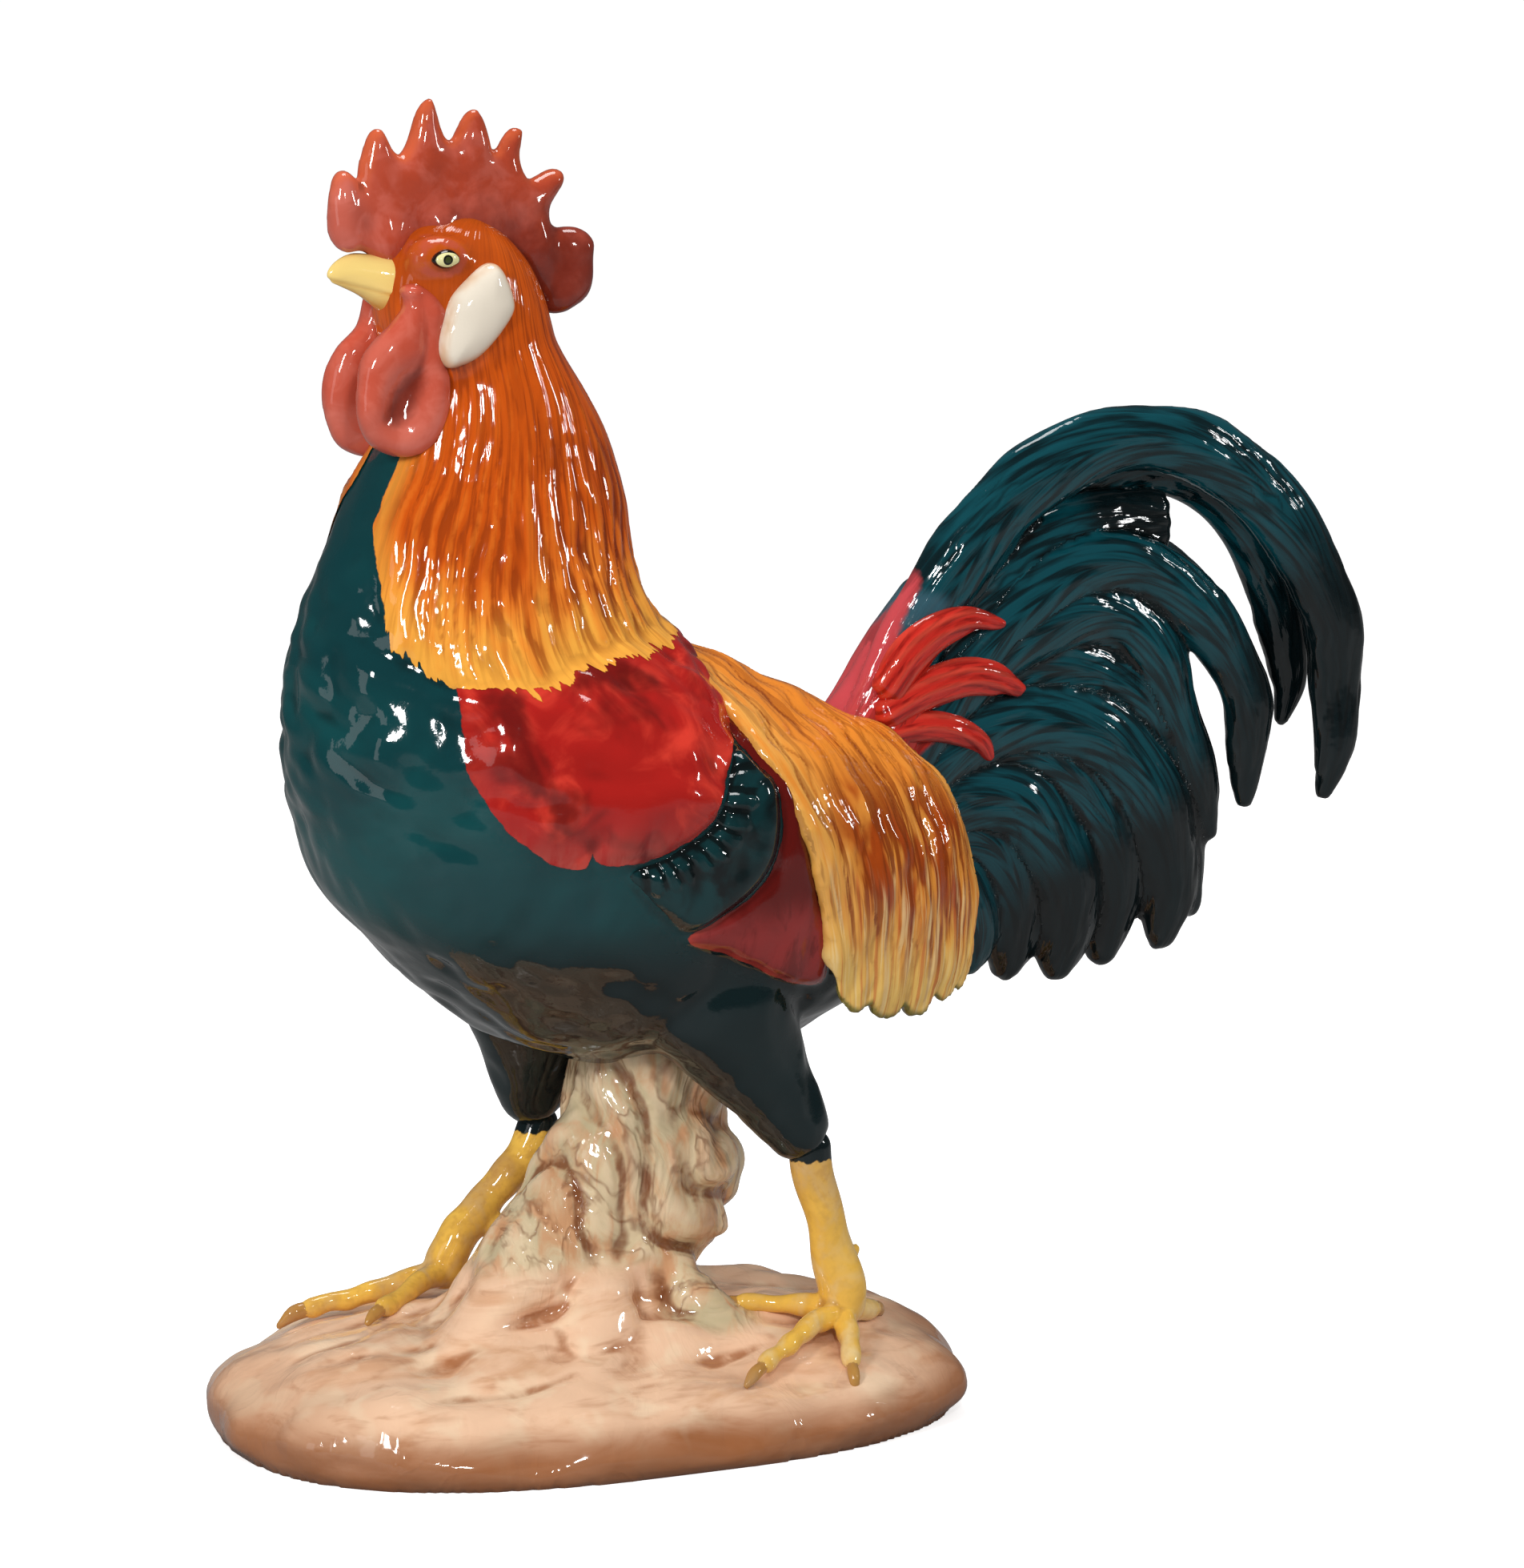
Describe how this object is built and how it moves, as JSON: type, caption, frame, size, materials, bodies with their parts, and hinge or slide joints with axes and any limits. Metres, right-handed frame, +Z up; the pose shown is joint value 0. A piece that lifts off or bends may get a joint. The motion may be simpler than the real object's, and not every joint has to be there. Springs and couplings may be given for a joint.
{
  "type": "rooster figurine",
  "caption": "Glazed earthenware rooster standing on an oval mound with a tree stump, high comb, hackles, wings and a sweeping sickle-feather tail; ornament that rests on its flat underside.",
  "frame": {"origin": "middle of the flat underside of the mound, on the surface that the figurine stands on", "axes": "+Z up; the bird faces -X, its tail points to +X; -Y is the bird's left side, +Y its right side"},
  "size_m": [0.2296, 0.0946, 0.2409],
  "materials": {
    "earth_glaze": "glossy clear glaze over peach and brown sprayed underglaze",
    "bark_glaze": "glossy clear glaze over cream, brown and grey-green",
    "teal_glaze": "glossy deep teal",
    "tail_glaze": "glossy teal running to near black",
    "orange_glaze": "glossy burnt orange, brushed to golden yellow at the hem",
    "gold_glaze": "glossy golden orange with brown strokes and a pale hem",
    "crimson_glaze": "glossy crimson",
    "maroon_glaze": "glossy dark red",
    "coral_glaze": "glossy coral red",
    "cream_glaze": "glossy cream white",
    "yellow_glaze": "glossy pale yellow shaded with ochre",
    "eye_glaze": "glossy pale yellow iris with a dark outline and pupil"
  },
  "bodies": {
    "root": {"mound_base": "earth_glaze", "tree_stump": "bark_glaze", "thigh_left": "teal_glaze", "thigh_right": "teal_glaze", "shank_and_foot_left": "yellow_glaze", "shank_and_foot_right": "yellow_glaze", "spur_left": "yellow_glaze", "spur_right": "yellow_glaze", "body_shell": "teal_glaze", "head": "orange_glaze", "comb": "coral_glaze", "beak_upper": "yellow_glaze", "beak_lower": "yellow_glaze", "wattle_left": "coral_glaze", "wattle_right": "coral_glaze", "ear_lobe_left": "cream_glaze", "ear_lobe_right": "cream_glaze", "eye_left": "eye_glaze", "eye_right": "eye_glaze", "wing_bow_left": "crimson_glaze", "wing_bow_right": "crimson_glaze", "wing_bar_left": "teal_glaze", "wing_bar_right": "teal_glaze", "wing_bay_left": "maroon_glaze", "wing_bay_right": "maroon_glaze", "tail_fan": "tail_glaze", "main_sickle_left": "tail_glaze", "main_sickle_right": "tail_glaze", "second_sickle_left": "tail_glaze", "second_sickle_right": "tail_glaze", "tail_covert_left_1": "crimson_glaze", "tail_covert_left_2": "crimson_glaze", "tail_covert_left_3": "crimson_glaze", "tail_covert_right_1": "crimson_glaze", "tail_covert_right_2": "crimson_glaze", "tail_covert_right_3": "crimson_glaze", "neck_hackle": "orange_glaze", "saddle_hackle": "gold_glaze"}
  },
  "joints": []
}
